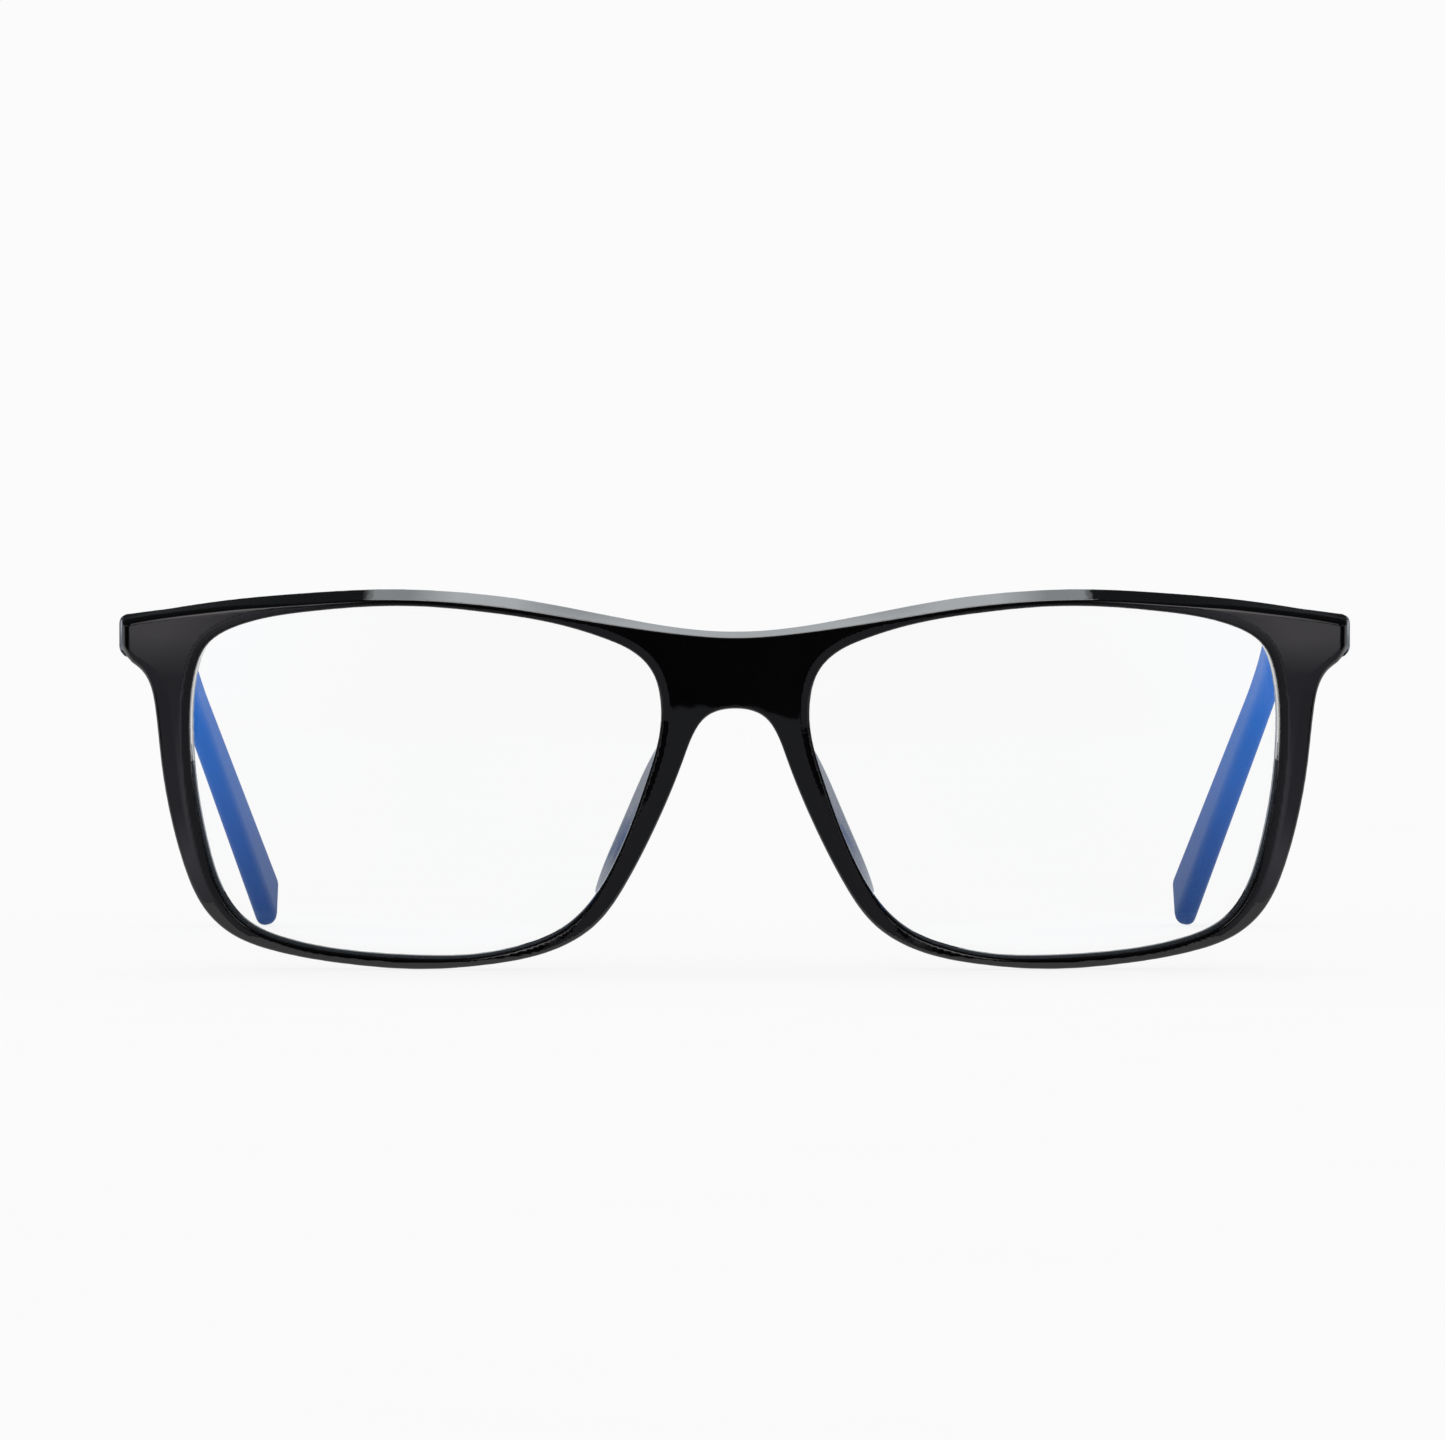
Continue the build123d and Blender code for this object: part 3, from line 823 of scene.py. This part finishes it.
MATERIALS = {
    "black_gloss": black_gloss(),
    "pad_gloss": pad_gloss(),
    "blue_matte": blue_matte(),
    "clear_lens": clear_lens(),
    "hinge_metal": brushed_metal(
        "hinge_metal", (0.42, 0.42, 0.43), (0.60, 0.60, 0.61), 0.24, 0.42, (1, 0.12, 1), 6000),
    "screw_metal": brushed_metal(
        "screw_metal", (0.56, 0.55, 0.53), (0.72, 0.71, 0.68), 0.16, 0.30, (1, 1, 0.15), 7000),
    "wire_metal": brushed_metal(
        "wire_metal", (0.48, 0.48, 0.48), (0.62, 0.62, 0.62), 0.22, 0.38, (1, 0.1, 1), 5000),
}
NODE_SLOTS = (
    ("front_hinge", "hinge_metal"), ("temple_hinge", "hinge_metal"), ("hinge_screw", "screw_metal"),
    ("front_leaf_screw", "screw_metal"), ("temple_leaf_screw", "screw_metal"),
    ("core_wire", "wire_metal"), ("nose_pad", "pad_gloss"))


# ---- the object ----
def add_front():
    points, quads, ways = surface_net(front_field, NET_LOW, NET_HIGH, NET_PITCH)
    front = add_mesh("front_shell", points, quads.tolist(), MATERIALS["black_gloss"], vertex_normals=ways)
    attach(front, "front")
    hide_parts("front_frame")


def add_pads():
    points, faces = pad_mesh()
    for side, sign in (("left", 1), ("right", -1)):
        turned = faces if sign > 0 else [face[::-1] for face in faces]
        pad = add_mesh(f"soft_pad_{side}", points * (sign, 1, 1), turned, MATERIALS["pad_gloss"])
        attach(pad, "front")
        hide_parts(f"nose_pad_{side}")


def add_pair(left, title, stands_for, material, body):
    """A left mesh and its mirror image, which ride on a body, or on each side's temple if it is None."""
    for side, mesh in (("left", left), ("right", mirrored(*left))):
        piece = add_mesh(f"{title}_{side}", mesh[0], mesh[1], MATERIALS[material], loop_normals=mesh[2])
        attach(piece, body or f"{side}_temple")
        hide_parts(f"{stands_for}_{side}")


def set_node_materials():
    for name, node in frame["nodes"].items():
        for start, material in NODE_SLOTS:
            if name.startswith(start):
                for material_slot in node.material_slots:
                    material_slot.material = MATERIALS[material]


add_front()
add_pads()
add_pair(lens_mesh(), "lens_glass", "lens", "clear_lens", "front")
add_pair(temple_mesh(), "temple_sleeve", "temple_arm", "blue_matte", None)
set_node_materials()


# ---- cards that only reflections show: corners in millimetres, patterns in metres ----
CARD_LIFT = 0.4             # of the level cards above the floor
CEILING = 620
BACK_PANEL_Y = 330
TABLE_DEPTH = 900           # of the table before the front, up to the wall beyond it
TABLE_REACH = 0.2           # distance aside that each of the table's ramps spans
LUG_PART = (0.088, 0.103)   # distances over which the rims' colours give way to the lugs'
LUG_SPREAD = 0.30           # how far the lugs' colours move aside with each metre of distance
BRIDGE_EDGE = (0.0955, 0.0965)   # distances over which the middle of the table turns dark
BRIDGE_WAVER = 0.028        # how far that border wavers
SIDE_PART = (0.070, 0.095)  # distances aside beyond which the table stays lit all the way
FAR_PART = (0.15, 0.35)     # distances over which the lit sides' inner borders grow darker
TABLE_LEAST = 0.02
PANEL_LEAST = 1.1


def upright_corners(half_width, y, low, high):
    return [(-half_width, y, low), (half_width, y, low), (half_width, y, high), (-half_width, y, high)]


def flat_corners(half_width, first_y, last_y, height):
    return [(-half_width, first_y, height), (half_width, first_y, height),
            (half_width, last_y, height), (-half_width, last_y, height)]


def card(name, corners, colour, strength):
    """Flat card that shows only in reflections; returns its glow for a pattern to drive."""
    mesh = bpy.data.meshes.new(name)
    mesh.from_pydata([tuple(np.array(corner) * MM) for corner in corners], [], [(0, 1, 2, 3)])
    material = bpy.data.materials.new(name)
    material.use_nodes = True
    tree = material.node_tree
    tree.nodes.clear()
    glow = tree.nodes.new("ShaderNodeEmission")
    glow.inputs["Color"].default_value = (*colour, 1)
    glow.inputs["Strength"].default_value = strength
    out = tree.nodes.new("ShaderNodeOutputMaterial")
    tree.links.new(glow.outputs[0], out.inputs["Surface"])
    mesh.materials.append(material)
    made = bpy.data.objects.new(name, mesh)
    bpy.context.scene.collection.objects.link(made)
    made.visible_camera = False
    made.visible_diffuse = False
    made.visible_transmission = False
    made.visible_shadow = False
    return tree, glow


def table_reflection(front_y):
    """What the front reflects of the table before it: near the front it is seen in the rims, further
    away in the lugs and the bridge. In the middle the far part of the table is dark."""
    corners = flat_corners(500, front_y - TABLE_DEPTH, front_y - 2, CARD_LIFT)
    tree, glow = card("front_table", corners, (1, 1, 1), 1)
    x, y, _ = object_place(tree)
    aside = arithmetic(tree, "ABSOLUTE", x)
    away = arithmetic(tree, "SUBTRACT", front_y * MM, y)
    across = between(tree, aside, 0, 1, 0.0, TABLE_REACH)
    rims = ramp(tree, across, (0.0, (0.24, 0.25, 0.28)), (0.20, (0.27, 0.27, 0.31)),
                (0.28, (0.22, 0.22, 0.25)), (0.34, (0.56, 0.54, 0.62)), (0.40, (0.82, 0.79, 0.90)),
                (0.46, (0.42, 0.41, 0.48)), (0.62, (0.34, 0.34, 0.40)), (0.66, (0.24, 0.24, 0.27)),
                (0.72, (0.01, 0.01, 0.01)))
    spread = product(tree, between(tree, away, 0, 0.8, 0.11, 0.91), LUG_SPREAD)
    sector = between(tree, arithmetic(tree, "SUBTRACT", aside, spread), 0, 1, 0.0, TABLE_REACH)
    lugs = ramp(tree, sector, (0.0, (0.24, 0.25, 0.28)), (0.34, (0.21, 0.21, 0.25)),
                (0.40, (0.27, 0.26, 0.30)), (0.45, (0.60, 0.57, 0.64)), (0.52, (1.20, 1.14, 1.24)),
                (0.66, (1.1, 1.06, 1.12)), (0.72, (0.01, 0.01, 0.01)))
    light = blend_colours(tree, rims, lugs, between(tree, away, 0, 1, *LUG_PART))
    waver = product(tree, noise(tree, 80, 2), BRIDGE_WAVER)
    edge = between(tree, arithmetic(tree, "ADD", away, waver), 1, 0, *BRIDGE_EDGE)
    side = between(tree, aside, 0, 1, *SIDE_PART)
    lit = arithmetic(tree, "MAXIMUM", edge, side)
    far = arithmetic(tree, "MAXIMUM", between(tree, away, 1, 0, *FAR_PART), side)
    strength = arithmetic(tree, "ADD", product(tree, lit, far), TABLE_LEAST)
    tree.links.new(light, glow.inputs["Color"])
    tree.links.new(strength, glow.inputs["Strength"])


def brow_reflection():
    """Tall narrow panel behind, brighter towards its middle and its top, that the brow's edge shows."""
    tree, glow = card("back_panel", upright_corners(84, BACK_PANEL_Y, 120, 560), (0.92, 0.97, 1.0), 1)
    x, _, z = object_place(tree)
    aside = arithmetic(tree, "ABSOLUTE", x)
    rise = between(tree, z, 0.0, 1.7, 0.20, 0.42)
    middle = between(tree, aside, 1.0, 0.25, 0.02, 0.05)
    end = between(tree, aside, 1.0, 0.0, 0.076, 0.084)
    strength = arithmetic(tree, "ADD", product(tree, rise, middle), PANEL_LEAST)
    tree.links.new(product(tree, strength, end), glow.inputs["Strength"])


def lug_reflection(front_y):
    """Wall far before the front with a light at each side, which the lugs' upper edges show."""
    tree, glow = card("front_wall", upright_corners(900, front_y - TABLE_DEPTH, 0, 900), (1.0, 0.94, 0.95), 1)
    x, _, z = object_place(tree)
    aside = arithmetic(tree, "ABSOLUTE", x)
    rise = between(tree, z, 1.1, 3.6, 0.05, 0.55)
    top = between(tree, z, 1, 0, 0.60, 0.88)
    near = between(tree, aside, 0, 1, 0.26, 0.36)
    wide = between(tree, aside, 1, 0, 0.46, 0.56)
    tree.links.new(product(tree, rise, top, near, wide), glow.inputs["Strength"])


def side_panel(side):
    """Upright panel behind and to one side, nearer at its outer edge; side is -1 or 1."""
    inner = (side * 260, BACK_PANEL_Y)
    outer = (side * 700, 250)
    corners = [(*inner, 2), (*outer, 2), (*outer, 260), (*inner, 260)]
    card(f"side_panel_{side + 1}", corners, (0.85, 0.90, 1.0), 0.6)


def add_cards():
    front_y = float(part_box("front_frame")[0].y) / MM
    table_reflection(front_y)
    brow_reflection()
    lug_reflection(front_y)
    card("top_softbox", flat_corners(110, BACK_PANEL_Y, -20, CEILING), (1.0, 0.96, 0.96), 4.0)
    card("back_wall", upright_corners(800, 900, 0, 190), (0.84, 0.90, 1.0), 0.95)
    for side in (-1, 1):
        side_panel(side)
    card("back_table", flat_corners(600, 60, 1500, CARD_LIFT), (0.78, 0.87, 1.0), 0.9)


# ---- floor, surroundings and camera ----
FLOOR_HALF = 6000.0
WHITE = 0.965
FLOOR_GLOW = 0.86           # share of the floor's light that comes up through it
DARK_ROOM = 0.05            # what reflections see where there is no card
CAMERA_AT = (-10.0, -1269.0, 50.0)
CAMERA_AIM = (-1.42, -69.0, 28.5)
CAMERA_LENS = 263.0
SENSOR_WIDTH = 36.0
CAMERA_CLIP = (0.05, 50)    # metres


def add_floor():
    mesh = bpy.data.meshes.new("floor")
    corners = flat_corners(FLOOR_HALF, -FLOOR_HALF, FLOOR_HALF, 0)
    mesh.from_pydata([tuple(np.array(corner) * MM) for corner in corners], [], [(0, 1, 2, 3)])
    floor = bpy.data.objects.new("floor", mesh)
    bpy.context.scene.collection.objects.link(floor)
    material, tree, shader = new_material(
        "floor_paper", Roughness=0.9, Specular_IOR_Level=0.0, Emission_Color=(1, 1, 1, 1),
        Emission_Strength=WHITE * FLOOR_GLOW)
    paper = ramp(tree, noise(tree, 30, 3), (0.3, (0.995 - FLOOR_GLOW,) * 3), (0.7, (1.0 - FLOOR_GLOW,) * 3))
    tree.links.new(paper, shader.inputs["Base Color"])
    mesh.materials.append(material)


def add_world():
    """White for everything but reflections, which see a dark room."""
    world = bpy.data.worlds.new("studio")
    bpy.context.scene.world = world
    world.use_nodes = True
    tree = world.node_tree
    tree.nodes.clear()
    path = tree.nodes.new("ShaderNodeLightPath")
    mix = tree.nodes.new("ShaderNodeMixShader")
    output = tree.nodes.new("ShaderNodeOutputWorld")
    tree.links.new(path.outputs["Is Glossy Ray"], mix.inputs[0])
    for socket, colour, strength in ((1, (1, 1, 1), WHITE), (2, (0.9, 0.95, 1.0), DARK_ROOM)):
        sky = tree.nodes.new("ShaderNodeBackground")
        sky.inputs["Color"].default_value = (*colour, 1)
        sky.inputs["Strength"].default_value = strength
        tree.links.new(sky.outputs[0], mix.inputs[socket])
    tree.links.new(mix.outputs[0], output.inputs["Surface"])


def add_camera():
    data = bpy.data.cameras.new("camera")
    data.lens = CAMERA_LENS
    data.sensor_width = SENSOR_WIDTH
    data.clip_start, data.clip_end = CAMERA_CLIP
    camera = bpy.data.objects.new("camera", data)
    bpy.context.scene.collection.objects.link(camera)
    sight = Vector(CAMERA_AIM) - Vector(CAMERA_AT)
    camera.location = Vector(CAMERA_AT) * MM
    camera.rotation_euler = sight.to_track_quat("-Z", "Y").to_euler()
    bpy.context.scene.camera = camera


add_floor()
add_world()
add_cards()
add_camera()
bpy.context.scene.view_settings.view_transform = "Standard"
